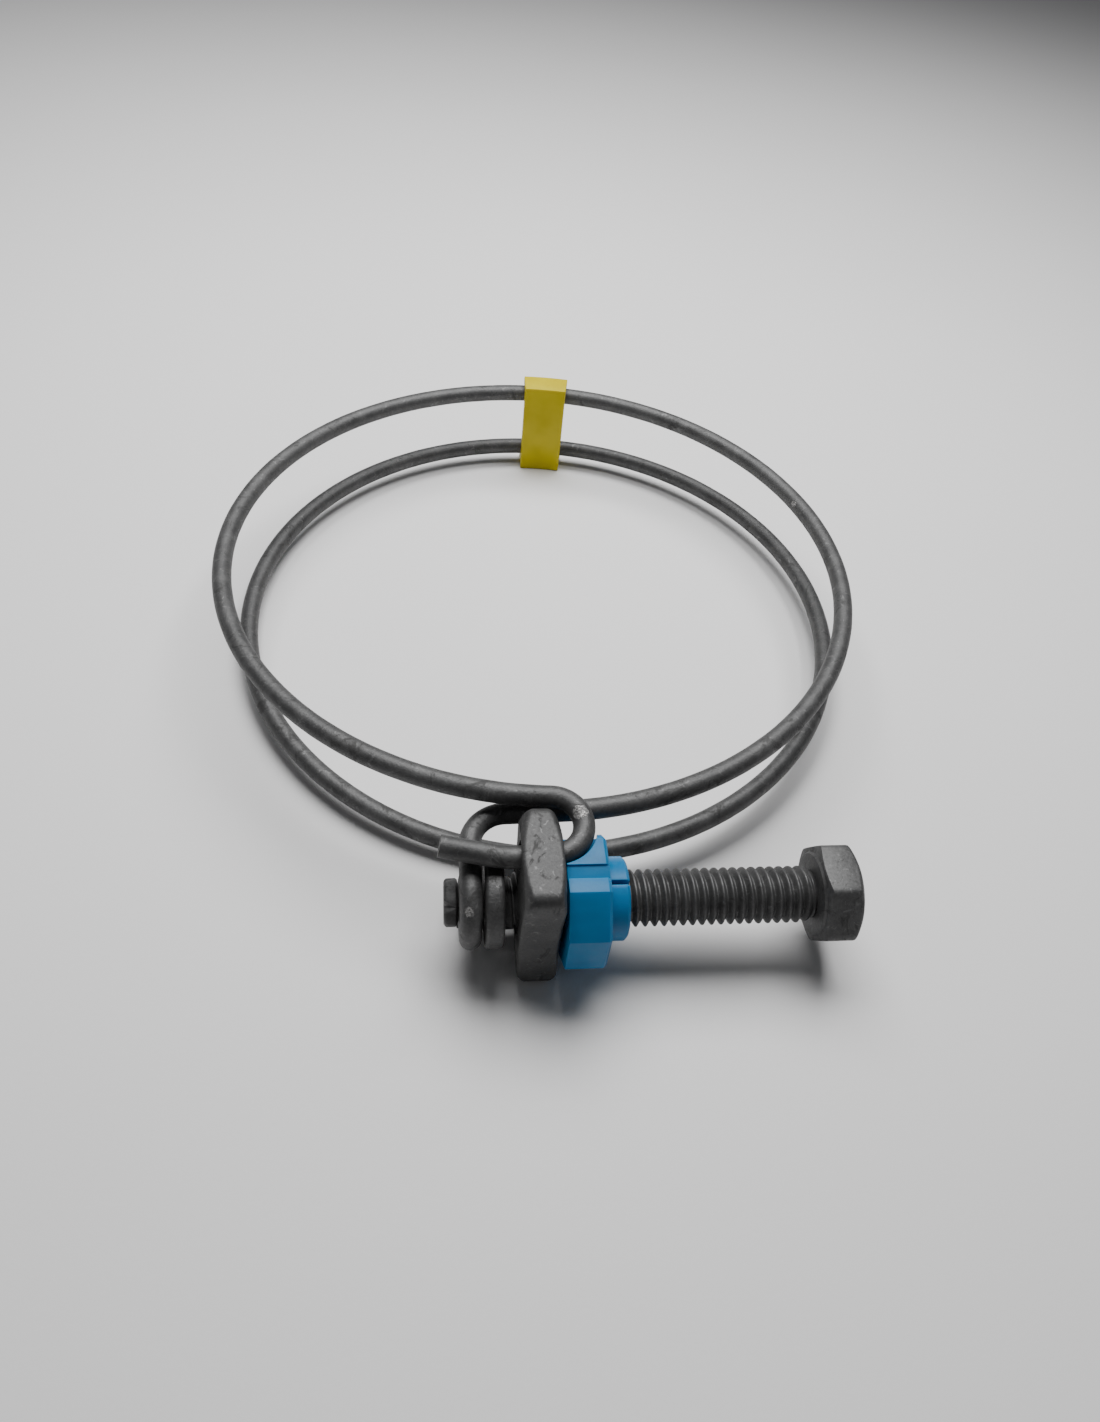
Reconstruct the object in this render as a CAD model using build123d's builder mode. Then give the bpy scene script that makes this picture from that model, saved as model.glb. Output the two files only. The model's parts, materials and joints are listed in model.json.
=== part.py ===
from build123d import *
import os
from math import degrees, pi

# Double-wire hose clamp, in millimetres. The origin is the centre of the hoop, +Z is the hoop's
# axis, +X runs along the screw towards its head, and the clasp is on the -Y side.

os.makedirs("parts", exist_ok=True)

# hoop: one wire bent into two rings, a loop round the screw's tip and two hooks
WIRE_D = 2.3
WIRE_R = WIRE_D / 2
HOOP_R = 39.3

# places that each ring's centreline passes, from the back of the hoop to its two ends at the clasp
UPPER = {
    "back": Vector(0, HOOP_R, 4.48),
    "left": Vector(-HOOP_R, 0, 5.7),
    "hook": Vector(-1.54, -HOOP_R, 6.72),
    "right": Vector(HOOP_R, 0, 5.2),
    "clasp": Vector(0, -HOOP_R, 4.12),
}
LOWER = {
    "back": Vector(1.0, HOOP_R - 0.2, -4.95),
    "left": Vector(-37.6, 0.4, -5.15),
    "hook": Vector(-2.0, -38.2, -6.2),
    "right": Vector(HOOP_R + 0.3, 0, -4.35),
    "clasp": Vector(0, -HOOP_R, -4.12),
}

# screw, M6 with a 1 mm pitch; its axis is parallel to X
AXIS_Y = -47.5
THREAD_R = 2.93
THREAD_LEAD = (0.9, 0.5)
HEX_FLATS = 9.8
HEAD_X = 26.1
HEAD_H = 3.9
HEAD_SEAT_R = 0.47 * HEX_FLATS
HEAD_SEAT_RISE = 0.3
HEAD_CHAMFER = 0.6
SHOULDER_X = -6.5
NECK_R = 1.95
TIP_R = 2.45
TIP_X = (-12.6, -11.15)
TIP_CHAMFER = 0.45
TIP_DENT = (1.1, 0.9, 1.0)

# loop of wire round the neck of the screw
LOOP_X = -9.9
LOOP_CLOSE = 0.2
LOOP_BEND = 3.75

# hooks: each ring's left end turns back through a hole in the nut plate
HOOK_NEAR_Y = AXIS_Y + 1.6
HOOK_NEAR_Z = 5.9
HOOK_ENDS = {1: -13.0, -1: -11.0}
LIFT = (-2.6, 0.12, 0.2)

# nut plate: shallow cones round the screw take off the corners of both faces
PLATE_X = (-5.1, -1.0)
PLATE_Y = (AXIS_Y - 5.3, AXIS_Y + 6.2)
PLATE_Z = 8.3
PLATE_CORNER = 1.5
PLATE_FACE_R = 7.6
CHAMFER_SLOPE = 3.0
NUT_BORE_R = 3.05
HOOK_HOLE_R = 1.5
HOLE_Y = HOOK_NEAR_Y - AXIS_Y + 0.03

# split nylon spacer: an eight-sided body and a round collar; its slit jogs and opens into a step
SPACER_X = (-0.5, 3.8)
SPACER_Z = 6.2
SPACER_SIDE = ((-6.45, 2.67), (-2.92, SPACER_Z), (3.43, SPACER_Z), (4.4, 5.23))
SPACER_CHAMFER = 0.35
COLLAR_R = 4.3
COLLAR_X = 6.0
COLLAR_CHAMFER = 0.3
SPACER_BORE_R = 3.1
SLIT = (
    (-0.9, 0),
    (-0.9, 4.7),
    (-1.3, 4.8),
    (-1.3, SPACER_Z + 1),
    (0.25, SPACER_Z + 1),
    (0.25, 5.95),
    (-1.15, 5.6),
    (-1.15, 5.1),
    (-0.43, 4.95),
    (-0.43, 0),
)
POCKET_GAP = 0.12
POCKET_Z = 4.5

# thrust washer on the neck
WASHER_X = (-8.5, -6.55)
WASHER_R = 4.75
WASHER_BORE_R = 2.05
WASHER_ROUND = 0.55

# wire clip at the back of the hoop
CLIP_ANGLE = 84.6
CLIP_WIDTH = 6.5
CLIP_WEB_R = (36.5, 37.8)
CLIP_LIP_R = HOOP_R + 0.75
CLIP_LIP = 1.15
CLIP_GAP = 0.16
CLIP_TOP = UPPER["back"].Z + WIRE_R + CLIP_GAP
CLIP_BOTTOM = LOWER["back"].Z - WIRE_R - CLIP_GAP


def ring_side(ring, side):
    """Draw one ring's centreline, from its hook's free end to its leg of the tip loop."""
    near = Vector(ring["hook"].X, HOOK_NEAR_Y, side * HOOK_NEAR_Z)
    far_left = TangentArc(ring["back"], ring["left"], tangent=(-1, 0, 0))
    left = TangentArc(ring["left"], ring["hook"], tangent=far_left % 1)
    hook = TangentArc(ring["hook"], near, tangent=left % 1)
    in_hole = near + (hook % 1) * (near.X - PLATE_X[0] + 0.1)
    Line(near, in_hole)
    step_up = Vector(LIFT[0], LIFT[1], side * LIFT[2])
    lift = TangentArc(in_hole, in_hole + step_up, tangent=hook % 1)
    away = lift % 1
    Line(lift @ 1, lift @ 1 + away * ((HOOK_ENDS[side] - (lift @ 1).X) / away.X))

    far_right = TangentArc(ring["back"], ring["right"], tangent=(1, 0, 0))
    right = TangentArc(ring["right"], ring["clasp"], tangent=far_right % 1)
    along = right % 1
    bend = ring["clasp"] + along * ((LOOP_X + LOOP_BEND) / along.X)
    Line(ring["clasp"], bend)
    leg = Vector(LOOP_X, bend.Y - LOOP_BEND, bend.Z - side * LOOP_CLOSE)
    corner = TangentArc(bend, leg, tangent=along)
    down = corner % 1
    loop_start = leg + down * ((AXIS_Y - leg.Y) / down.Y)
    Line(leg, loop_start)
    return loop_start, down


with BuildPart() as hoop_wire:
    with BuildLine() as centreline:
        upper, entry = ring_side(UPPER, 1)
        lower, _ = ring_side(LOWER, -1)
        TangentArc(upper, lower, tangent=entry)
    path = Wire(centreline.edges())
    with BuildSketch(Plane(origin=path @ 0, z_dir=path % 0)):
        Circle(WIRE_R)
    sweep(path=path)
hoop_wire.part.label = "hoop_wire"

expected = pi * WIRE_R**2 * path.length
print("wire length", round(path.length, 2), "volume", round(hoop_wire.part.volume, 1), "of", round(expected, 1))


def across(x):
    """The plane square to the screw at x: its local x is +Y and its local y is +Z."""
    return Plane(origin=(x, AXIS_Y, 0), x_dir=(0, 1, 0), z_dir=(1, 0, 0))


with BuildPart() as bridge_nut:
    plate_mid = (PLATE_Y[0] + PLATE_Y[1]) / 2 - AXIS_Y
    plate_thick = PLATE_X[1] - PLATE_X[0]
    with BuildSketch(across(PLATE_X[0])):
        with Locations((plate_mid, 0)):
            RectangleRounded(PLATE_Y[1] - PLATE_Y[0], 2 * PLATE_Z, PLATE_CORNER)
    extrude(amount=plate_thick)
    wide_r = PLATE_FACE_R + CHAMFER_SLOPE * plate_thick
    with Locations(across((PLATE_X[0] + PLATE_X[1]) / 2)):
        Cone(PLATE_FACE_R, wide_r, plate_thick, mode=Mode.INTERSECT)
        Cone(wide_r, PLATE_FACE_R, plate_thick, mode=Mode.INTERSECT)
    with BuildSketch(across(PLATE_X[0])):
        Circle(NUT_BORE_R)
        with Locations((HOLE_Y, HOOK_NEAR_Z), (HOLE_Y, -HOOK_NEAR_Z)):
            Circle(HOOK_HOLE_R)
    extrude(amount=plate_thick, mode=Mode.SUBTRACT)
bridge_nut.part.label = "bridge_nut"


with BuildPart() as spacer:
    with BuildSketch(across(SPACER_X[0])):
        with BuildLine():
            Polyline(*SPACER_SIDE, *((y, -z) for y, z in reversed(SPACER_SIDE)), close=True)
        make_face()
    extrude(amount=SPACER_X[1] - SPACER_X[0])
    chamfer(spacer.faces().sort_by(Axis.X)[-1].edges(), SPACER_CHAMFER)
    with BuildSketch(across(SPACER_X[1])):
        Circle(COLLAR_R)
    extrude(amount=COLLAR_X - SPACER_X[1])
    chamfer(spacer.faces().sort_by(Axis.X)[-1].edges(), COLLAR_CHAMFER)
    with BuildSketch(across(SPACER_X[0])):
        Circle(SPACER_BORE_R)
    extrude(amount=COLLAR_X - SPACER_X[0], mode=Mode.SUBTRACT)
    with BuildSketch(across(SPACER_X[0])):
        with BuildLine():
            Polyline(*SLIT, close=True)
        make_face()
    extrude(amount=COLLAR_X - SPACER_X[0], mode=Mode.SUBTRACT)
    for ring, side in ((UPPER, 1), (LOWER, -1)):
        bend_r = (ring["hook"].Y - HOOK_NEAR_Y) / 2
        with BuildSketch(Plane.XY.offset(side * POCKET_Z)):
            with Locations((ring["hook"].X, ring["hook"].Y - bend_r)):
                Circle(bend_r + WIRE_R + POCKET_GAP)
        extrude(amount=side * SPACER_Z, mode=Mode.SUBTRACT)
spacer.part.label = "nylon_spacer"


with BuildPart() as screw:
    with BuildSketch(Plane.XY):
        with BuildLine():
            Polyline(
                (TIP_X[0], AXIS_Y),
                (TIP_X[0], AXIS_Y + TIP_R - TIP_CHAMFER),
                (TIP_X[0] + TIP_CHAMFER, AXIS_Y + TIP_R),
                (TIP_X[1] - TIP_CHAMFER / 2, AXIS_Y + TIP_R),
                (TIP_X[1], AXIS_Y + NECK_R),
                (SHOULDER_X, AXIS_Y + NECK_R),
                (SHOULDER_X, AXIS_Y + THREAD_R - THREAD_LEAD[1]),
                (SHOULDER_X + THREAD_LEAD[0], AXIS_Y + THREAD_R),
                (HEAD_X - HEAD_SEAT_RISE, AXIS_Y + THREAD_R),
                (HEAD_X - HEAD_SEAT_RISE, AXIS_Y + HEAD_SEAT_R - HEAD_SEAT_RISE),
                (HEAD_X, AXIS_Y + HEAD_SEAT_R),
                (HEAD_X + HEAD_H / 2, AXIS_Y),
                close=True,
            )
        make_face()
    revolve(axis=Axis((0, AXIS_Y, 0), (1, 0, 0)))
    with BuildSketch(across(HEAD_X)):
        RegularPolygon(HEX_FLATS / 2, 6, major_radius=False)
    hexagon = extrude(amount=HEAD_H, mode=Mode.PRIVATE)
    with BuildSketch(Plane.XY, mode=Mode.PRIVATE) as crown:
        with BuildLine():
            Polyline(
                (HEAD_X, AXIS_Y),
                (HEAD_X, AXIS_Y + 0.5 * HEX_FLATS),
                (HEAD_X + HEAD_CHAMFER / 2, AXIS_Y + 0.6 * HEX_FLATS),
                (HEAD_X + HEAD_H - HEAD_CHAMFER, AXIS_Y + 0.6 * HEX_FLATS),
                (HEAD_X + HEAD_H, AXIS_Y + HEAD_SEAT_R),
                (HEAD_X + HEAD_H, AXIS_Y),
                close=True,
            )
        make_face()
    turned = revolve(crown.sketch, axis=Axis((0, AXIS_Y, 0), (1, 0, 0)), mode=Mode.PRIVATE)
    add(hexagon & turned)
    with Locations(across(TIP_X[0])):
        with PolarLocations(TIP_R - TIP_CHAMFER / 2, 4, start_angle=45):
            Box(*TIP_DENT, rotation=(0, 0, 45), mode=Mode.SUBTRACT)
screw.part.label = "screw"


with BuildPart() as thrust_washer:
    with BuildSketch(across(WASHER_X[0])):
        Circle(WASHER_R)
        Circle(WASHER_BORE_R, mode=Mode.SUBTRACT)
    extrude(amount=WASHER_X[1] - WASHER_X[0])
    outer = thrust_washer.edges().filter_by(GeomType.CIRCLE).group_by(SortBy.RADIUS)[-1]
    fillet(outer, WASHER_ROUND)
thrust_washer.part.label = "thrust_washer"


with BuildPart() as wire_clip:
    with BuildSketch(Plane.XZ):
        with BuildLine():
            Polyline(
                (CLIP_WEB_R[0], CLIP_BOTTOM - CLIP_LIP),
                (CLIP_WEB_R[0], CLIP_TOP + CLIP_LIP),
                (CLIP_LIP_R, CLIP_TOP + CLIP_LIP),
                (CLIP_LIP_R, CLIP_TOP),
                (CLIP_WEB_R[1], CLIP_TOP),
                (CLIP_WEB_R[1], CLIP_BOTTOM),
                (CLIP_LIP_R, CLIP_BOTTOM),
                (CLIP_LIP_R, CLIP_BOTTOM - CLIP_LIP),
                close=True,
            )
        make_face()
    clip_turn = degrees(CLIP_WIDTH / HOOP_R)
    revolve(axis=Axis.Z, revolution_arc=clip_turn)
wire_clip.part = wire_clip.part.rotate(Axis.Z, CLIP_ANGLE - clip_turn / 2)
wire_clip.part.label = "wire_clip"


for piece, name in (
    (hoop_wire, "hoop_wire"),
    (bridge_nut, "bridge_nut"),
    (spacer, "nylon_spacer"),
    (screw, "screw"),
    (thrust_washer, "thrust_washer"),
    (wire_clip, "wire_clip"),
):
    export_step(piece.part, f"parts/{name}.step")
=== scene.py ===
"""Double-wire hose clamp: wire hoop, nut plate, hexagon screw, thrust washer, nylon spacer, clip."""

import json
import math

import bmesh
import bpy
from mathutils import Matrix, Vector


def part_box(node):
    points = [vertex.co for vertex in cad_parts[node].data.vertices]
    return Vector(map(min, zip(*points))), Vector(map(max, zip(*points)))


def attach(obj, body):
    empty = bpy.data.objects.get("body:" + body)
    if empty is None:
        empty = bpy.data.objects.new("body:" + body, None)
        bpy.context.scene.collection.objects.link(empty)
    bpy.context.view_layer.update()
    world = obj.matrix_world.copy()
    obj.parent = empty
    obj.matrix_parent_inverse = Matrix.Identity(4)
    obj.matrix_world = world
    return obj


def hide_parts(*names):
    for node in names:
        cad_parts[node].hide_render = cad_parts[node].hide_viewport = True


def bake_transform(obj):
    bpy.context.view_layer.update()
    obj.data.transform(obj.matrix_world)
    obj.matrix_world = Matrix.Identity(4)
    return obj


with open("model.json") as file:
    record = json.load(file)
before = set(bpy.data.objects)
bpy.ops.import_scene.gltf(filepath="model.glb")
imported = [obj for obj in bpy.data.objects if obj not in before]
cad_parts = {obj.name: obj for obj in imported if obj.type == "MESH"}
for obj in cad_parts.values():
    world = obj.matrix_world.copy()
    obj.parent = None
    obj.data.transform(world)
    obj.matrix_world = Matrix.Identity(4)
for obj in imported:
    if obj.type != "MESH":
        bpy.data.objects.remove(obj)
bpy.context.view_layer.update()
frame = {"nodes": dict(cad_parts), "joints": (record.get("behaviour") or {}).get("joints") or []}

MM = 0.001
TURN = 2 * math.pi
X_WAY = Vector((1, 0, 0))

# places and sizes read from the frame
joints = {joint["name"]: joint for joint in frame["joints"]}
axis_y = joints["screw_turn"]["pos_m"][1]
screw_lo, screw_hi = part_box("screw")
washer_lo, washer_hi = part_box("thrust_washer")
plate_lo, plate_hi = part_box("bridge_nut")
clip_lo, clip_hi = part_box("wire_clip")

# the wire, as bent: places that each ring's centreline passes, in mm
WIRE_R = 1.15 * MM
UPPER = {
    "back": Vector((0, 39.3, 4.48)) * MM,
    "left": Vector((-39.3, 0, 5.7)) * MM,
    "hook": Vector((-1.54, -39.3, 6.72)) * MM,
    "right": Vector((39.3, 0, 5.2)) * MM,
    "clasp": Vector((0, -39.3, 4.12)) * MM,
}
LOWER = {
    "back": Vector((1.0, 39.1, -4.95)) * MM,
    "left": Vector((-37.6, 0.4, -5.15)) * MM,
    "hook": Vector((-2.0, -38.2, -6.2)) * MM,
    "right": Vector((39.6, 0, -4.35)) * MM,
    "clasp": Vector((0, -39.3, -4.12)) * MM,
}
HOOK_Y = axis_y + 1.6 * MM
HOOK_Z = 5.9 * MM
HOOK_ENDS = {1: -13.0 * MM, -1: -11.0 * MM}
LIFT = Vector((-2.6, 0.12, 0.2)) * MM
LOOP_X, LOOP_BEND, LOOP_CLOSE = -9.9 * MM, 3.75 * MM, 0.2 * MM
WIRE_STEP = 0.3 * MM
# the free ends narrow over PINCH, by PINCH_SHARE, to a last ring of END_SHARE
PINCH, PINCH_SHARE, END_SHARE = 7.0 * MM, 0.14, 0.78

# the screw, M6 with a right-hand thread
PITCH = 1.0 * MM
CREST_R, ROOT_R = 2.95 * MM, 2.38 * MM
ROOT_FLAT, FLANK_SHARE = 0.14, 0.72
NECK_R, TIP_R = 1.95 * MM, 2.45 * MM
HEX_R = screw_hi.z
HEAD_H = 3.9 * MM
HEAD_X = screw_hi.x - HEAD_H
SHOULDER_X = -6.5 * MM


# ---------------------------------------------------------------- node building


class Value:
    """A socket in a node tree, with Python's operators as Math nodes."""

    def __init__(self, build, socket):
        self.build, self.socket = build, socket

    def _math(self, operation, *terms):
        return self.build.node("ShaderNodeMath", {"operation": operation}, dict(enumerate(terms)))

    def __add__(self, other):
        return self._math("ADD", self, other)

    def __sub__(self, other):
        return self._math("SUBTRACT", self, other)

    def __mul__(self, other):
        return self._math("MULTIPLY", self, other)

    def __truediv__(self, other):
        return self._math("DIVIDE", self, other)

    def __radd__(self, other):
        return self._math("ADD", other, self)

    def __rsub__(self, other):
        return self._math("SUBTRACT", other, self)

    def __rmul__(self, other):
        return self._math("MULTIPLY", other, self)

    def __rtruediv__(self, other):
        return self._math("DIVIDE", other, self)

    def minimum(self, other):
        return self._math("MINIMUM", self, other)

    def maximum(self, other):
        return self._math("MAXIMUM", self, other)

    def fraction(self):
        return self._math("FRACT", self)

    def size(self):
        return self._math("ABSOLUTE", self)

    def sine(self):
        return self._math("SINE", self)

    def cosine(self):
        return self._math("COSINE", self)

    def step(self, low, high):
        """0 below low, 1 above high, smooth between."""
        settings = {"interpolation_type": "SMOOTHSTEP"}
        inputs = {"Value": self, "From Min": low, "From Max": high}
        return self.build.node("ShaderNodeMapRange", settings, inputs)


class Build:
    """Adds nodes to one tree."""

    def __init__(self, tree):
        self.tree = tree

    def node(self, kind, settings=None, inputs=None, output=0):
        made = self.tree.nodes.new(kind)
        for name, setting in (settings or {}).items():
            setattr(made, name, setting)
        for name, given in (inputs or {}).items():
            if isinstance(given, Value):
                self.tree.links.new(given.socket, made.inputs[name])
            else:
                made.inputs[name].default_value = given
        return Value(self, made.outputs[output])

    def ramp(self, factor, stops):
        """A colour ramp with stops as (position, (r, g, b))."""
        made = self.tree.nodes.new("ShaderNodeValToRGB")
        ramp = made.color_ramp
        while len(ramp.elements) < len(stops):
            ramp.elements.new(0.5)
        for element, (position, colour) in zip(ramp.elements, stops):
            element.position = position
            element.color = (*colour, 1)
        self.tree.links.new(factor.socket, made.inputs[0])
        return Value(self, made.outputs[0])


class Surface(Build):
    """A material with one Principled shader, and patterns in the object's own coordinates."""

    def __init__(self, name, **constants):
        self.material = bpy.data.materials.new(name)
        self.material.use_nodes = True
        super().__init__(self.material.node_tree)
        self.shader = self.tree.nodes["Principled BSDF"]
        for socket, value in constants.items():
            self.shader.inputs[socket.replace("_", " ")].default_value = value
        self.place = self.node("ShaderNodeTexCoord", output="Object")

    def noise(self, size, detail=3.0, roughness=0.5, distortion=0.0, stretch=(1, 1, 1)):
        """Noise with features of that size in metres."""
        scale = tuple(1 / (size * s) for s in stretch)
        at = self.node("ShaderNodeMapping", {}, {"Vector": self.place, "Scale": scale})
        inputs = {"Vector": at, "Scale": 1.0, "Detail": detail, "Roughness": roughness}
        inputs["Distortion"] = distortion
        return self.node("ShaderNodeTexNoise", {}, inputs)

    def mix(self, factor, first, second):
        return self.node(
            "ShaderNodeMix", {"data_type": "RGBA"}, {0: factor, 6: first, 7: second}, output=2
        )

    def near(self, centre, radius, ragged=0.3):
        """1 within radius of a point, with a ragged edge."""
        ends = {0: self.place, 1: tuple(centre)}
        apart = self.node("ShaderNodeVectorMath", {"operation": "DISTANCE"}, ends, output="Value")
        edge = apart / radius + (self.noise(radius * 0.5) - 0.5) * (2 * ragged)
        return 1 - edge.step(0.8, 1.0)

    def finish(self, colour=None, roughness=None, metallic=None, height=None, distance=0.0):
        wanted = {"Base Color": colour, "Roughness": roughness, "Metallic": metallic}
        for name, value in wanted.items():
            if value is not None:
                self.tree.links.new(value.socket, self.shader.inputs[name])
        if height is not None:
            bump = self.node("ShaderNodeBump", {}, {"Strength": 1.0, "Distance": distance, "Height": height})
            self.tree.links.new(bump.socket, self.shader.inputs["Normal"])
        return self.material


# ---------------------------------------------------------------- finishes


def rgb(grey, warm=0.0):
    return (grey * (1 + warm), grey, grey * (1 - warm), 1)


def coated_steel(name, tone, scuffs=(), grain_stretch=(1, 1, 1), wear=0.60):
    """Dull zinc flake coating: cloudy grey with a faint sheen, pits, pale rubs and dark handling marks."""
    s = Surface(name, Specular_IOR_Level=0.45)
    cloud = s.noise(2.4 * MM, 4, 0.6, 0.3, grain_stretch)
    grain = s.noise(0.30 * MM, 4, 0.7, 0.0, grain_stretch)
    fleck = s.noise(0.8 * MM, 3, 0.6, 0.8, grain_stretch)
    stain = s.noise(3.2 * MM, 4, 0.75, 1.4, grain_stretch).step(0.56, 0.66)
    rub = s.noise(1.5 * MM, 5, 0.8, 2.0, grain_stretch).step(0.62, 0.70)
    pale = (fleck.step(wear, wear + 0.10) * 0.45).maximum(rub * 0.6)
    base = s.ramp(
        cloud * 0.55 + grain * 0.45,
        [(0.30, (tone * 0.60, tone * 0.60, tone * 0.61)), (0.5, (tone,) * 3), (0.70, (tone * 1.5,) * 3)],
    )
    colour = s.mix(stain * 0.5, base, rgb(tone * 0.35, 0.03))
    colour = s.mix(pale, colour, rgb(tone * 2.2))
    rough = 0.44 + cloud * 0.22 - pale * 0.14 + stain * 0.12
    metal = 0.5 + grain * 0.25
    height = grain * 0.55 + fleck * 0.45
    if scuffs:
        rubbed = s.near(*scuffs[0])
        for centre, radius in scuffs[1:]:
            rubbed = rubbed.maximum(s.near(centre, radius))
        speckle = s.noise(0.28 * MM, 3, 0.7).step(0.42, 0.58)
        colour = s.mix(rubbed * (0.25 + speckle * 0.7), colour, rgb(tone * 3.4, 0.02))
        rough = rough - rubbed * 0.12
        height = height - rubbed * (0.6 + speckle * 0.5)
    return s.finish(colour, rough, metal, height, 0.06 * MM)


def blue_nylon():
    """Moulded nylon: even blue, faint flow marks, slightly see-through at its edges."""
    s = Surface(
        "blue_nylon",
        Subsurface_Weight=0.35,
        Subsurface_Radius=(0.3, 0.7, 1.0),
        Subsurface_Scale=1.6 * MM,
        Transmission_Weight=0.12,
        IOR=1.53,
        Specular_IOR_Level=0.2,
    )
    flow = s.noise(3.0 * MM, 2, 0.5, 0.4, (2.5, 1, 1))
    grain = s.noise(0.25 * MM, 3, 0.6)
    colour = s.ramp(flow, [(0.3, (0.002, 0.16, 0.36)), (0.7, (0.005, 0.20, 0.44))])
    return s.finish(colour, 0.34 + grain * 0.14, None, grain * 0.5 + flow * 0.5, 0.012 * MM)


def yellow_plastic():
    """Thin moulded strip, satin yellow."""
    s = Surface(
        "yellow_plastic",
        Subsurface_Weight=0.25,
        Subsurface_Radius=(1.0, 0.8, 0.1),
        Subsurface_Scale=1.0 * MM,
        Specular_IOR_Level=0.2,
    )
    flow = s.noise(4.0 * MM, 2, 0.5)
    grain = s.noise(0.3 * MM, 3, 0.6)
    colour = s.ramp(flow, [(0.3, (0.50, 0.40, 0.002)), (0.7, (0.60, 0.49, 0.004))])
    return s.finish(colour, 0.36 + grain * 0.16, None, grain, 0.010 * MM)


# ---------------------------------------------------------------- mesh helpers


def keep_mesh(name, mesh, material=None):
    """A new object in the scene with that mesh, and that material if one is given."""
    made = bpy.data.objects.new(name, mesh)
    bpy.context.scene.collection.objects.link(made)
    if material is not None:
        mesh.materials.clear()
        mesh.materials.append(material)
    return made


def shade(mesh, sharp):
    """Smooth shading, with edges over that many degrees left sharp."""
    for polygon in mesh.polygons:
        polygon.use_smooth = True
    mesh.set_sharp_from_angle(angle=math.radians(sharp))


def evaluated(name, source):
    """The mesh that an object's modifiers give, in a new object, and the source removed."""
    bpy.context.view_layer.update()
    graph = bpy.context.evaluated_depsgraph_get()
    mesh = bpy.data.meshes.new_from_object(source.evaluated_get(graph))
    mesh.name = name
    bpy.data.objects.remove(source)
    return keep_mesh(name, mesh)


def rings_to_mesh(name, rings, closed_ends=True):
    """A skin over rings of equal counts of points; a ring of one point is a pole."""
    bm = bmesh.new()
    loops = [[bm.verts.new(point) for point in ring] for ring in rings]
    for near, far in zip(loops, loops[1:]):
        count = max(len(near), len(far))
        for i in range(count):
            j = (i + 1) % count
            corners = [near[i % len(near)], near[j % len(near)], far[j % len(far)], far[i % len(far)]]
            corners = list(dict.fromkeys(corners))
            bm.faces.new(corners)
    if closed_ends:
        for end in (loops[0], loops[-1]):
            if len(end) > 2:
                bm.faces.new(end)
    bmesh.ops.recalc_face_normals(bm, faces=bm.faces)
    mesh = bpy.data.meshes.new(name)
    bm.to_mesh(mesh)
    bm.free()
    return mesh


def around_screw(x, radius, count, shape=None):
    """A ring of points round the screw's axis; shape gives the radius for each angle if there is one."""
    points = []
    for i in range(count):
        angle = TURN * i / count
        r = shape(angle) if shape else radius
        points.append(Vector((x, axis_y + r * math.cos(angle), r * math.sin(angle))))
    return points


def join_meshes(name, meshes):
    bm = bmesh.new()
    for mesh in meshes:
        bm.from_mesh(mesh)
    joined = bpy.data.meshes.new(name)
    bm.to_mesh(joined)
    bm.free()
    return joined


def softened(node, width, material, segments=3, sharp=25):
    """A merged copy of a CAD node with its hard edges rounded by width."""
    bm = bmesh.new()
    bm.from_mesh(frame["nodes"][node].data)
    bmesh.ops.remove_doubles(bm, verts=bm.verts, dist=0.002 * MM)
    flat = math.radians(0.5)
    bmesh.ops.dissolve_limit(bm, angle_limit=flat, verts=bm.verts, edges=bm.edges)
    mesh = bpy.data.meshes.new(node)
    bm.to_mesh(mesh)
    bm.free()
    rough = keep_mesh(node + "_rough", mesh)
    bevel = rough.modifiers.new("bevel", "BEVEL")
    bevel.width = width
    bevel.segments = segments
    bevel.limit_method = "ANGLE"
    bevel.angle_limit = math.radians(sharp)
    bevel.harden_normals = False
    made = evaluated(node + "_shell", rough)
    made.data.materials.clear()
    made.data.materials.append(material)
    shade(made.data, 40)
    return made


# ---------------------------------------------------------------- the wire's route


def straight(start, end):
    """Points from start towards end, a step apart, without the end itself."""
    count = max(1, round((end - start).length / WIRE_STEP))
    return [start.lerp(end, i / count) for i in range(count)]


def tangent_arc(start, end, way):
    """Points of the arc that leaves start along way and reaches end, and the way it then points."""
    way = way.normalized()
    chord = end - start
    square = (chord - way * chord.dot(way)).normalized()
    half = way.angle(chord)
    radius = chord.length / (2 * math.sin(half))
    centre = start + square * radius
    count = max(8, round(2 * half * radius / WIRE_STEP))
    points = []
    for i in range(count):
        angle = 2 * half * i / count
        points.append(centre + radius * (way * math.sin(angle) - square * math.cos(angle)))
    return points, way * math.cos(2 * half) + square * math.sin(2 * half)


def hook_route(ring, side):
    """From the back of the hoop, round its left, through the hook to the free end."""
    near = Vector((ring["hook"].x, HOOK_Y, side * HOOK_Z))
    rear, way = tangent_arc(ring["back"], ring["left"], -X_WAY)
    front, way = tangent_arc(ring["left"], ring["hook"], way)
    bend, way = tangent_arc(ring["hook"], near, way)
    left_of_plate = near + way * (near.x - plate_lo.x + 0.1 * MM)
    rise = Vector((LIFT.x, LIFT.y, side * LIFT.z))
    top = left_of_plate + rise
    lift, away = tangent_arc(left_of_plate, top, way)
    end = top + away * ((HOOK_ENDS[side] - top.x) / away.x)
    return rear + front + bend + straight(near, left_of_plate) + lift + straight(top, end) + [end]


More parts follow.
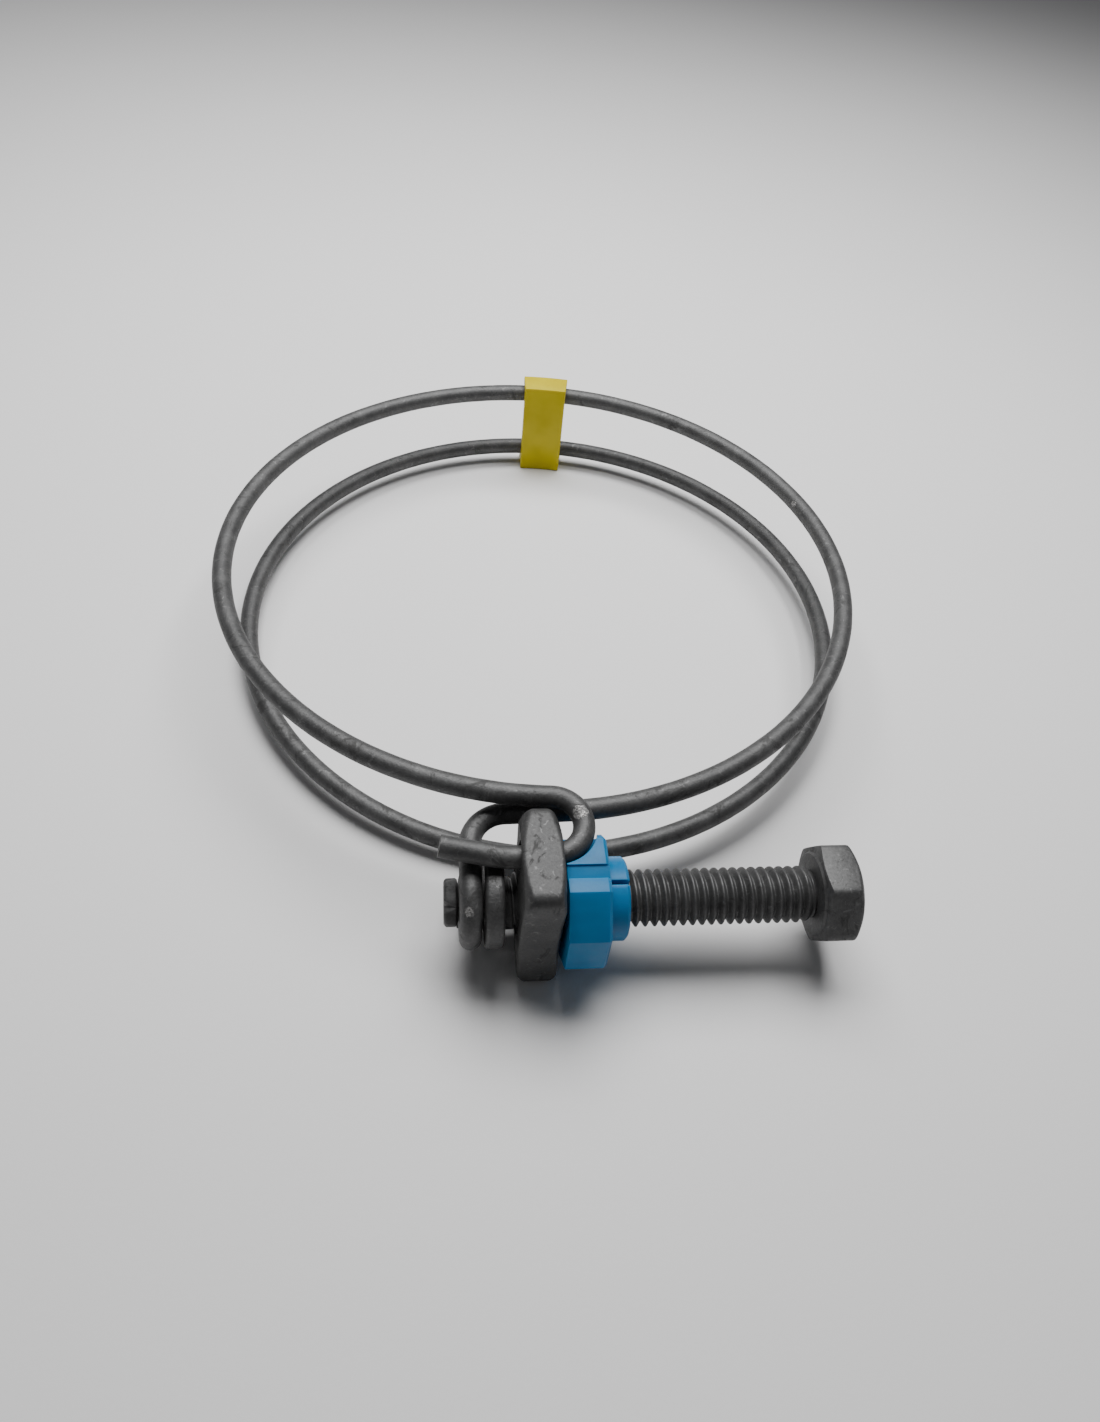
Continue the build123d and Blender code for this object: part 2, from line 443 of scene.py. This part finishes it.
def loop_route(ring, side):
    """From the back of the hoop, round its right, to the side of the screw's neck."""
    rear, way = tangent_arc(ring["back"], ring["right"], X_WAY)
    front, way = tangent_arc(ring["right"], ring["clasp"], way)
    bend = ring["clasp"] + way * ((LOOP_X + LOOP_BEND) / way.x)
    leg = Vector((LOOP_X, bend.y - LOOP_BEND, bend.z - side * LOOP_CLOSE))
    corner, down = tangent_arc(bend, leg, way)
    neck = leg + down * ((axis_y - leg.y) / down.y)
    return rear + front + straight(ring["clasp"], bend) + corner + straight(leg, neck), neck, down


def sweep_tree():
    """Geometry nodes that give a curve the wire's round section, slightly uneven as drawn wire is."""
    tree = bpy.data.node_groups.new("wire_sweep", "GeometryNodeTree")
    face = tree.interface
    face.new_socket("Geometry", in_out="INPUT", socket_type="NodeSocketGeometry")
    for name in ("Wire Radius", "Ripple", "Ripple Size"):
        face.new_socket(name, in_out="INPUT", socket_type="NodeSocketFloat")
    face.new_socket("Sides", in_out="INPUT", socket_type="NodeSocketInt")
    face.new_socket("Finish", in_out="INPUT", socket_type="NodeSocketMaterial")
    face.new_socket("Geometry", in_out="OUTPUT", socket_type="NodeSocketGeometry")
    b = Build(tree)
    given = tree.nodes.new("NodeGroupInput")
    take = {s.name: Value(b, s) for s in given.outputs if s.name}
    section = {"Resolution": take["Sides"], "Radius": take["Wire Radius"]}
    ring = b.node("GeometryNodeCurvePrimitiveCircle", {}, section)
    tube = b.node(
        "GeometryNodeCurveToMesh", {}, {"Curve": take["Geometry"], "Profile Curve": ring, "Fill Caps": True}
    )
    place = b.node("GeometryNodeInputPosition")
    ripple = {"Vector": place, "Scale": 1.0 / take["Ripple Size"], "Detail": 2.0}
    wave = b.node("ShaderNodeTexNoise", {}, ripple)
    normal = b.node("GeometryNodeInputNormal")
    push = b.node(
        "ShaderNodeVectorMath", {"operation": "SCALE"}, {0: normal, "Scale": (wave - 0.5) * take["Ripple"]}
    )
    moved = b.node("GeometryNodeSetPosition", {}, {"Geometry": tube, "Offset": push})
    smooth = b.node("GeometryNodeSetShadeSmooth", {}, {"Geometry": moved})
    real = b.node("GeometryNodeRealizeInstances", {}, {"Geometry": smooth})
    done = b.node("GeometryNodeSetMaterial", {}, {"Geometry": real, "Material": take["Finish"]})
    out = tree.nodes.new("NodeGroupOutput")
    tree.links.new(done.socket, out.inputs[0])
    return tree


def run_tree(source, tree, settings):
    """Adds the tree as a modifier and sets its named inputs."""
    modifier = source.modifiers.new(tree.name, "NODES")
    modifier.node_group = tree
    for item in tree.interface.items_tree:
        if item.item_type == "SOCKET" and item.in_out == "INPUT" and item.name in settings:
            modifier[item.identifier] = settings[item.name]


def swept_wire(name, routes, tree, material):
    curve = bpy.data.curves.new(name + "_route", "CURVE")
    curve.dimensions = "3D"
    for route, open_end in routes:
        spline = curve.splines.new("POLY")
        spline.points.add(len(route) - 1)
        for point, place in zip(spline.points, route):
            point.co = (*place, 1)
            if open_end:
                to_end = (place - route[-1]).length
                point.radius = 1 - PINCH_SHARE * max(0.0, 1 - to_end / PINCH)
        if open_end:
            spline.points[-1].radius = END_SHARE
    source = bpy.data.objects.new(name + "_route", curve)
    bpy.context.scene.collection.objects.link(source)
    settings = {
        "Wire Radius": WIRE_R,
        "Ripple": 0.05 * MM,
        "Ripple Size": 2.2 * MM,
        "Sides": 28,
        "Finish": material,
    }
    run_tree(source, tree, settings)
    made = evaluated(name, source)
    shade(made.data, 40)
    return made


# ---------------------------------------------------------------- the screw


def thread_tree():
    """Geometry nodes that wind a right-hand thread: a grid whose rows follow the helix."""
    tree = bpy.data.node_groups.new("thread", "GeometryNodeTree")
    face = tree.interface
    for name in ("Start", "Length", "Pitch", "Crest Radius", "Root Radius", "Lead In", "Axis Y"):
        face.new_socket(name, in_out="INPUT", socket_type="NodeSocketFloat")
    for name in ("Rows", "Columns"):
        face.new_socket(name, in_out="INPUT", socket_type="NodeSocketInt")
    face.new_socket("Geometry", in_out="OUTPUT", socket_type="NodeSocketGeometry")
    b = Build(tree)
    given = tree.nodes.new("NodeGroupInput")
    take = {s.name: Value(b, s) for s in given.outputs if s.name}
    grid = b.node(
        "GeometryNodeMeshGrid",
        {},
        {"Size X": 1.0, "Size Y": 1.0, "Vertices X": take["Rows"], "Vertices Y": take["Columns"]},
    )
    place = b.node("GeometryNodeInputPosition")
    split = b.node("ShaderNodeSeparateXYZ", {}, {0: place})
    along = split + 0.5
    turn = Value(b, split.socket.node.outputs[1]) + 0.5
    run = along * (take["Length"] + take["Pitch"] * 2) - take["Pitch"] * 1.5 + turn * take["Pitch"]
    x = run.maximum(0).minimum(take["Length"])
    wave = ((run / take["Pitch"] - turn).fraction() - 0.5).size() * 2
    flank = ((wave - ROOT_FLAT) / FLANK_SHARE).maximum(0).minimum(1)
    depth = take["Crest Radius"] - take["Root Radius"]
    from_start = x / take["Lead In"]
    from_end = (take["Length"] - x) / take["Lead In"]
    allowed = from_start.minimum(from_end).maximum(0).minimum(1)
    radius = take["Root Radius"] + depth * flank.minimum(allowed)
    angle = turn * TURN
    spot = b.node(
        "ShaderNodeCombineXYZ",
        {},
        {0: take["Start"] + x, 1: take["Axis Y"] + radius * angle.cosine(), 2: radius * angle.sine()},
    )
    wound = b.node("GeometryNodeSetPosition", {}, {"Geometry": grid, "Position": spot})
    whole = b.node("GeometryNodeMergeByDistance", {}, {"Geometry": wound, "Distance": 0.002 * MM})
    real = b.node("GeometryNodeRealizeInstances", {}, {"Geometry": whole})
    out = tree.nodes.new("NodeGroupOutput")
    tree.links.new(real.socket, out.inputs[0])
    return tree


def hexagon_radius(angle, across, sharpness=34):
    """Distance from the axis to a hexagon's side, with its corners rounded."""
    total = 0.0
    for k in range(6):
        facing = math.cos(angle - math.radians(30 + 60 * k))
        total += max(0.0, facing) ** sharpness
    return across / total ** (1 / sharpness)


def head_mesh():
    """Hexagon head: washer face below, and cones that cut its corners at both ends."""
    count = 144
    bottom, top = HEAD_X, screw_hi.x
    crown_r, foot_r = 0.93 * HEX_R, 0.96 * HEX_R
    crown_slope, foot_slope, seat = 0.58, 0.35, 0.25 * MM

    def ring(inset, x_of):
        points = []
        for i in range(count):
            angle = TURN * i / count
            r = hexagon_radius(angle, HEX_R) - inset
            points.append(Vector((x_of(r), axis_y + r * math.cos(angle), r * math.sin(angle))))
        return points

    def upper(r):
        return top - crown_slope * max(0.0, r - crown_r)

    def lower(r):
        return bottom + foot_slope * max(0.0, r - foot_r)

    rings = [
        [Vector((bottom - seat, axis_y, 0))],
        around_screw(bottom - seat, 0.80 * HEX_R, count),
        around_screw(bottom - 0.20 * MM, 0.86 * HEX_R, count),
        around_screw(bottom + 0.02 * MM, 0.90 * HEX_R, count),
        ring(0.22 * MM, lower),
        ring(0.06 * MM, lambda r: lower(r) + 0.05 * MM),
        ring(0.0, lambda r: lower(r) + 0.22 * MM),
        ring(0.0, lambda r: upper(r) - 0.26 * MM),
        ring(0.06 * MM, lambda r: upper(r) - 0.08 * MM),
        ring(0.24 * MM, upper),
        around_screw(top, crown_r * 0.995, count),
        around_screw(top, crown_r * 0.93, count),
        around_screw(top - 0.02 * MM, crown_r * 0.5, count),
        [Vector((top - 0.02 * MM, axis_y, 0))],
    ]
    return rings_to_mesh("head", rings)


def tip_mesh():
    """Neck and staked tip: four wedge dents run in from its end and taper out along its side."""
    count = 192
    start = screw_lo.x
    dent_turn = math.radians(133)
    dent_run, dent_width, dent_depth = 1.3 * MM, 0.34, 0.80 * MM

    def dented(base, from_end):
        def radius(angle):
            apart = abs((angle - dent_turn) % (TURN / 4) - TURN / 8)
            beside = (TURN / 8 - apart) / dent_width
            return base - dent_depth * max(0.0, 1 - from_end / dent_run - beside)

        return radius

    edge = [(0.0, 0.86), (0.08, 0.93), (0.2, 0.98)]
    side = edge + [(from_end, 1.0) for from_end in (0.35, 0.55, 0.75, 0.95, 1.2)]
    rings = [[Vector((start + 0.10 * MM, axis_y, 0))], around_screw(start + 0.06 * MM, 0.5 * TIP_R, count)]
    for from_end, share in side:
        distance = from_end * MM
        rings.append(around_screw(start + distance, 0, count, dented(share * TIP_R, distance)))
    rings += [
        around_screw(start + 1.38 * MM, 0.94 * TIP_R, count),
        around_screw(start + 1.45 * MM, NECK_R, count),
        around_screw(SHOULDER_X + 0.1 * MM, NECK_R, count),
        [Vector((SHOULDER_X + 0.1 * MM, axis_y, 0))],
    ]
    return rings_to_mesh("tip", rings)


def thread_mesh():
    tree = thread_tree()
    length = HEAD_X - 0.2 * MM - SHOULDER_X
    holder = bpy.data.objects.new("thread_holder", bpy.data.meshes.new("thread_holder"))
    bpy.context.scene.collection.objects.link(holder)
    per_turn = 14
    settings = {
        "Start": SHOULDER_X,
        "Length": length,
        "Pitch": PITCH,
        "Crest Radius": CREST_R,
        "Root Radius": ROOT_R,
        "Lead In": 1.1 * MM,
        "Axis Y": axis_y,
        "Rows": round((length / PITCH + 2) * per_turn) + 1,
        "Columns": 73,
    }
    run_tree(holder, tree, settings)
    wound = evaluated("thread", holder)
    bm = bmesh.new()
    bm.from_mesh(wound.data)
    bmesh.ops.remove_doubles(bm, verts=bm.verts, dist=0.002 * MM)
    bmesh.ops.dissolve_degenerate(bm, dist=0.001 * MM, edges=bm.edges)
    rims = [edge for edge in bm.edges if edge.is_boundary]
    bmesh.ops.holes_fill(bm, edges=rims, sides=0)
    bmesh.ops.recalc_face_normals(bm, faces=bm.faces)
    mesh = bpy.data.meshes.new("thread_wound")
    bm.to_mesh(mesh)
    bm.free()
    bpy.data.objects.remove(wound)
    return mesh


# ---------------------------------------------------------------- the washer


def washer_mesh():
    """Thick washer with rolled edges."""
    count = 96
    x0, x1 = washer_lo.x, washer_hi.x
    outer, inner = (washer_hi.y - washer_lo.y) / 2, 2.05 * MM
    roll, bevel = 0.5 * MM, 0.15 * MM
    steps = range(1, 6)
    outline = [(x0, inner + bevel), (x0, outer - roll)]
    for i in steps:
        angle = math.radians(15 * i)
        outline.append((x0 + roll * (1 - math.cos(angle)), outer - roll * (1 - math.sin(angle))))
    outline += [(x0 + roll, outer), (x1 - roll, outer)]
    for i in steps:
        angle = math.radians(15 * i)
        outline.append((x1 - roll * (1 - math.sin(angle)), outer - roll * (1 - math.cos(angle))))
    outline += [(x1, outer - roll), (x1, inner + bevel), (x1 - bevel, inner), (x0 + bevel, inner)]
    rings = [around_screw(x, r, count) for x, r in outline]
    return rings_to_mesh("thrust_washer", rings + [rings[0]], closed_ends=False)


# ---------------------------------------------------------------- the nut plate

PLATE_BOW = 0.25 * MM
BORE_BOW = 0.8 * PLATE_BOW
PLATE_CORNER = 1.3 * MM
PLATE_SHIFT = 0.15 * MM
# edge rounding in mm, and how much is added towards the hoop
PLATE_EDGE, PLATE_EDGE_BACK = 0.36, 0.8
PLATE_CONE_R, PLATE_CONE_SLOPE = 8.2 * MM, 2.1
BORE_R, HOOK_HOLE_R = 3.05 * MM, 1.5 * MM


def outline_reach(angle):
    """Distance from the screw's axis to the plate's edge, a rectangle with rounded corners."""
    way = Vector((math.cos(angle), math.sin(angle)))
    low, high = Vector((plate_lo.y - axis_y, plate_lo.z)), Vector((plate_hi.y - axis_y, plate_hi.z))
    near, far = 0.0, 20 * MM
    for _ in range(40):
        middle = (near + far) / 2
        spot = way * middle
        over_y = max(low.x + PLATE_CORNER - spot.x, spot.x - high.x + PLATE_CORNER, 0)
        over_z = max(low.y + PLATE_CORNER - spot.y, spot.y - high.y + PLATE_CORNER, 0)
        if math.hypot(over_y, over_z) > PLATE_CORNER:
            far = middle
        else:
            near = middle
    return near


def plate_point(angle, reach, distance_in, side):
    """A point of the plate's left (-1) or right (1) face, that far in from its edge."""
    r = reach - distance_in
    back = max(0.0, math.cos(angle))
    edge_round = (PLATE_EDGE + PLATE_EDGE_BACK * back**2) * MM
    lost = max(0.0, edge_round - distance_in)
    rounding = edge_round - math.sqrt(edge_round**2 - lost**2)
    cone = max(0.0, r - PLATE_CONE_R) / PLATE_CONE_SLOPE
    z = r * math.sin(angle)
    bow = PLATE_BOW * (1 - (z / plate_hi.z) ** 2) * (1 - back)
    half = (plate_hi.x - plate_lo.x) / 2
    middle = (plate_hi.x + plate_lo.x) / 2 + PLATE_SHIFT - bow
    return Vector((middle + side * max(0.0, half - rounding - cone), axis_y + r * math.cos(angle), z))


def plate_mesh():
    """Forged plate: rounded edges, cones round the screw on both faces, and a bore; its two hook holes are
    drilled afterwards.
    """
    count = 240
    insets = [0.0, 0.02, 0.08, 0.18, 0.32, 0.5, 0.72, 1.0, 1.5, 2.0, 2.6]
    reaches = [outline_reach(TURN * i / count) for i in range(count)]
    left = []
    right = []
    for inset in insets:
        rings = [[], []]
        for i, reach in enumerate(reaches):
            for ring, side in zip(rings, (-1, 1)):
                ring.append(plate_point(TURN * i / count, reach, inset * MM, side))
        left.append(rings[0])
        right.append(rings[1])
    lip = 0.3 * MM
    left_x, right_x = plate_lo.x - BORE_BOW, plate_hi.x - BORE_BOW
    bore = [
        around_screw(left_x, BORE_R + lip, count),
        around_screw(left_x + lip, BORE_R, count),
        around_screw(right_x - lip, BORE_R, count),
        around_screw(right_x, BORE_R + lip, count),
    ]
    rings = left + bore + list(reversed(right))
    mesh = rings_to_mesh("bridge_nut", rings + [rings[0]], closed_ends=False)
    bm = bmesh.new()
    bm.from_mesh(mesh)
    bmesh.ops.remove_doubles(bm, verts=bm.verts, dist=0.001 * MM)
    bmesh.ops.recalc_face_normals(bm, faces=bm.faces)
    bm.to_mesh(mesh)
    bm.free()
    return mesh


def drilled(source, name, places, radius):
    """Cuts round holes along X through an object's mesh and gives the result as a new object."""
    cutters = []
    for y, z in places:
        bm = bmesh.new()
        turned = Matrix.Translation((0, y, z)) @ Matrix.Rotation(math.pi / 2, 4, "Y")
        bmesh.ops.create_cone(
            bm, cap_ends=True, segments=64, radius1=radius, radius2=radius, depth=20 * MM, matrix=turned
        )
        mesh = bpy.data.meshes.new("drill")
        bm.to_mesh(mesh)
        bm.free()
        cutter = keep_mesh("drill", mesh)
        cut = source.modifiers.new("hole", "BOOLEAN")
        cut.operation = "DIFFERENCE"
        cut.solver = "EXACT"
        cut.object = cutter
        cutters.append(cutter)
    made = evaluated(name, source)
    for cutter in cutters:
        bpy.data.objects.remove(cutter)
    return made


# ---------------------------------------------------------------- assembly

loop_front = Vector((LOOP_X - 0.3 * MM, axis_y - 3.4 * MM, 3.75 * MM))
hook_outer = Vector((1.2, -41.75, 7.4)) * MM
scuffs = [
    (loop_front, 0.72 * MM),
    (hook_outer, 0.85 * MM),
    (Vector((-4.5, 39.6, 5.4)) * MM, 0.45 * MM),
    (Vector((36.5, 11.5, 5.6)) * MM, 0.5 * MM),
]
wire_steel = coated_steel("coated_wire", 0.095, scuffs)
plate_steel = coated_steel("coated_plate", 0.080)
screw_steel = coated_steel("coated_screw", 0.095)
washer_steel = coated_steel("coated_washer", 0.090)

tree = sweep_tree()
upper, neck_up, way = loop_route(UPPER, 1)
lower, neck_down, _ = loop_route(LOWER, -1)
round_neck, _ = tangent_arc(neck_up, neck_down, way)
clip_angle = math.atan2((clip_lo.y + clip_hi.y) / 2, (clip_lo.x + clip_hi.x) / 2)


def under_clip(route):
    """Index of the route's first point past the middle of the clip."""
    for i, place in enumerate(route):
        if place.y > 0 and math.atan2(place.y, place.x) <= clip_angle:
            return i
    return 0


up_at, down_at = under_clip(upper), under_clip(lower)
right_route = upper[up_at:] + round_neck + list(reversed(lower[down_at:]))
left_routes = [
    (list(reversed(upper[: up_at + 1])) + hook_route(UPPER, 1)[1:], True),
    (list(reversed(lower[: down_at + 1])) + hook_route(LOWER, -1)[1:], True),
]
wire_left = swept_wire("hoop_wire_left", left_routes, tree, wire_steel)
wire_right = swept_wire("hoop_wire_right", [(right_route, False)], tree, wire_steel)
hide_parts("hoop_wire")
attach(wire_left, "root")
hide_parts("hoop_wire")
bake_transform(wire_right)

screw_skin = join_meshes("screw_body", [thread_mesh(), tip_mesh(), head_mesh()])
screw = keep_mesh("screw_body", screw_skin, screw_steel)
shade(screw.data, 38)
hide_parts("screw")
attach(screw, "screw")

washer = keep_mesh("washer_ring", washer_mesh(), washer_steel)
shade(washer.data, 40)
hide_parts("thrust_washer")
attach(washer, "washer")

holes = [(HOOK_Y + 0.03 * MM, side * HOOK_Z) for side in (1, -1)]
plate = drilled(keep_mesh("plate_blank", plate_mesh()), "bridge_nut_shell", holes, HOOK_HOLE_R)
plate.data.materials.clear()
plate.data.materials.append(plate_steel)
shade(plate.data, 40)
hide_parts("bridge_nut")
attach(plate, "root")

spacer = softened("nylon_spacer", 0.12 * MM, blue_nylon())
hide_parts("nylon_spacer")
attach(spacer, "root")

clip = softened("wire_clip", 0.12 * MM, yellow_plastic())
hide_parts("wire_clip")
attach(clip, "clip")

# ---------------------------------------------------------------- floor, light and camera


def floor():
    """A pale table top that touches the plate and the clip at the back of the hoop."""
    front, back = Vector((0, plate_lo.y, plate_lo.z)), Vector((0, clip_hi.y, clip_lo.z))
    slope = math.atan2(back.z - front.z, back.y - front.y)
    bm = bmesh.new()
    bmesh.ops.create_grid(bm, x_segments=1, y_segments=1, size=4.0)
    mesh = bpy.data.meshes.new("floor")
    bm.to_mesh(mesh)
    bm.free()
    made = keep_mesh("floor", mesh)
    made.matrix_world = Matrix.Translation(front) @ Matrix.Rotation(slope, 4, "X")
    s = Surface("floor_paper", Specular_IOR_Level=0.3)
    cloud = s.noise(0.12, 2, 0.5)
    grain = s.noise(0.8 * MM, 3, 0.6)
    colour = s.ramp(cloud, [(0.3, (0.84, 0.835, 0.835)), (0.7, (0.87, 0.865, 0.865))])
    mesh.materials.append(s.finish(colour, 0.5 + grain * 0.1, None, grain, 0.01 * MM))


def area_light(name, place, target, size, power, spread):
    """A rectangular light; the floor dims away from its target as its spread narrows, in degrees."""
    data = bpy.data.lights.new(name, "AREA")
    data.shape = "RECTANGLE"
    data.size, data.size_y = size
    data.energy = power
    data.spread = math.radians(spread)
    made = bpy.data.objects.new(name, data)
    bpy.context.scene.collection.objects.link(made)
    made.location = place
    made.rotation_euler = (Vector(target) - Vector(place)).to_track_quat("-Z", "Y").to_euler()


def world_light(strength, backdrop):
    """Dim light from all round, and a paler tone where the backdrop itself is seen."""
    world = bpy.data.worlds.new("room")
    world.use_nodes = True
    shader = world.node_tree.nodes["Background"]
    shader.inputs["Color"].default_value = (0.96, 0.97, 1.0, 1)
    b = Build(world.node_tree)
    seen = b.node("ShaderNodeLightPath", output="Is Camera Ray")
    brightness = seen * (backdrop - strength) + strength
    world.node_tree.links.new(brightness.socket, shader.inputs["Strength"])
    bpy.context.scene.world = world


def camera():
    """Looks down at the clamp from in front, a little to the left, and turned slightly."""
    yaw, drop, roll = 0.166, 0.848, -0.120
    ahead = Vector((math.sin(yaw) * math.cos(drop), math.cos(yaw) * math.cos(drop), -math.sin(drop)))
    right = Vector((math.cos(yaw), -math.sin(yaw), 0))
    down = ahead.cross(right)
    right, down = (
        right * math.cos(roll) + down * math.sin(roll),
        down * math.cos(roll) - right * math.sin(roll),
    )
    eye = Vector((-13.26, -102.39, 92.65)) * MM
    data = bpy.data.cameras.new("camera")
    data.sensor_width = 36
    data.lens = 26.29
    data.clip_start = 0.005
    made = bpy.data.objects.new("camera", data)
    bpy.context.scene.collection.objects.link(made)
    turned = Matrix((right, -down, -ahead)).transposed().to_4x4()
    made.matrix_world = Matrix.Translation(eye) @ turned
    bpy.context.scene.camera = made


floor()
world_light(0.09, 0.45)
area_light("window", (0.01, 0.10, 0.26), (0, 0.03, 0), (0.26, 0.20), 0.80, spread=125)
camera()
